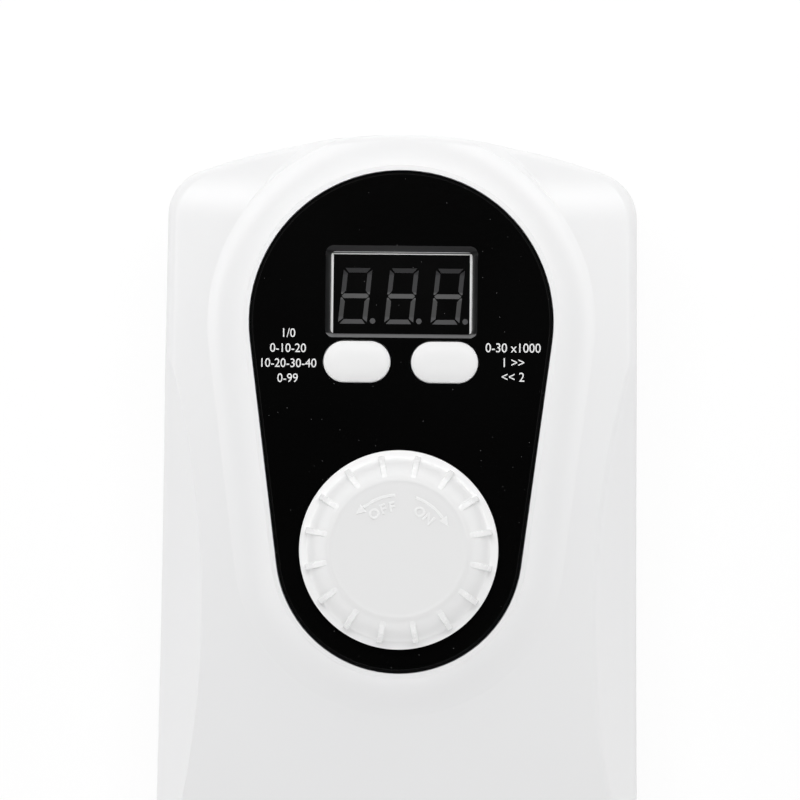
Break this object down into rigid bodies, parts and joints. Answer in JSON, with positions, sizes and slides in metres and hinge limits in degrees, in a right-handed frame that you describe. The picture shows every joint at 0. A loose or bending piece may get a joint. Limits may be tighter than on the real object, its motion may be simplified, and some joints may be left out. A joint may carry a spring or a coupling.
{
  "type": "cordless nail drill control unit",
  "caption": "Palm-sized rechargeable nail drill control unit with a black teardrop panel, digit display, oval push buttons, ribbed speed knob and folding belt clip.",
  "frame": {"origin": "centre of the footprint at the height of the table it lies on", "axes": "+Z out of the control face, +Y towards the display end, +X to the right seen from the front"},
  "size_m": [0.0794, 0.148, 0.0362],
  "materials": {
    "white_housing": "glossy injection-moulded white ABS, fine satin bloom",
    "black_panel": "piano-black acrylic plate with polished bevel",
    "white_controls": "satin white ABS knob and buttons",
    "module_white": "white display module body",
    "display_black": "printed black display face",
    "segment_grey": "unlit milky grey segments",
    "board_green": "solder-resist green board",
    "black_parts": "black moulded electronic parts",
    "steel": "zinc-plated steel",
    "cell_wrap": "shrink-wrapped lithium cell",
    "nickel": "welded nickel strip",
    "holder_black": "black moulded tray",
    "rubber": "soft black rubber",
    "clip_white": "white moulded belt clip"
  },
  "bodies": {
    "housing": {"front_shell": "white_housing", "back_shell": "white_housing", "control_panel": "black_panel", "display_module": "module_white", "display_pins": "nickel", "display_face": "display_black", "display_segments": "segment_grey", "switch_body_left": "black_parts", "switch_body_right": "black_parts", "potentiometer_body": "steel", "potentiometer_switch": "black_parts", "potentiometer_nut": "steel", "main_board": "board_green", "main_board_parts": "black_parts", "power_board": "board_green", "power_board_parts": "black_parts", "battery_cell_1": "cell_wrap", "battery_cell_2": "cell_wrap", "battery_cell_tabs": "nickel", "battery_holder": "holder_black", "handpiece_socket": "black_parts", "charge_socket": "black_parts", "clip_pin": "steel", "case_screws": "steel", "rubber_feet": "rubber"},
    "knob": {"knob": "white_controls", "potentiometer_shaft": "steel"},
    "button_left": {"button_left": "white_controls", "switch_plunger_left": "black_parts"},
    "button_right": {"button_right": "white_controls", "switch_plunger_right": "black_parts"},
    "clip": {"belt_clip": "clip_white", "clip_spring": "steel"}
  },
  "joints": [
    {"name": "knob_turn", "type": "hinge", "parent": "housing", "child": "knob", "pos_m": [0, 0.0054, 0.03], "axis": [0, 0, 1], "range_deg": [-300, 0]},
    {"name": "button_left_press", "type": "slide", "parent": "housing", "child": "button_left", "axis": [0, 0, -1], "range_m": [0, 0.0005], "stiffness_N_per_m": 400, "springref_m": -0.0005},
    {"name": "button_right_press", "type": "slide", "parent": "housing", "child": "button_right", "axis": [0, 0, -1], "range_m": [0, 0.0005], "stiffness_N_per_m": 400, "springref_m": -0.0005},
    {"name": "clip_open", "type": "hinge", "parent": "housing", "child": "clip", "pos_m": [0, 0.0395, 0.0051], "axis": [1, 0, 0], "range_deg": [0, 15], "stiffness_Nm_per_rad": 0.05, "springref_deg": -17.19}
  ]
}
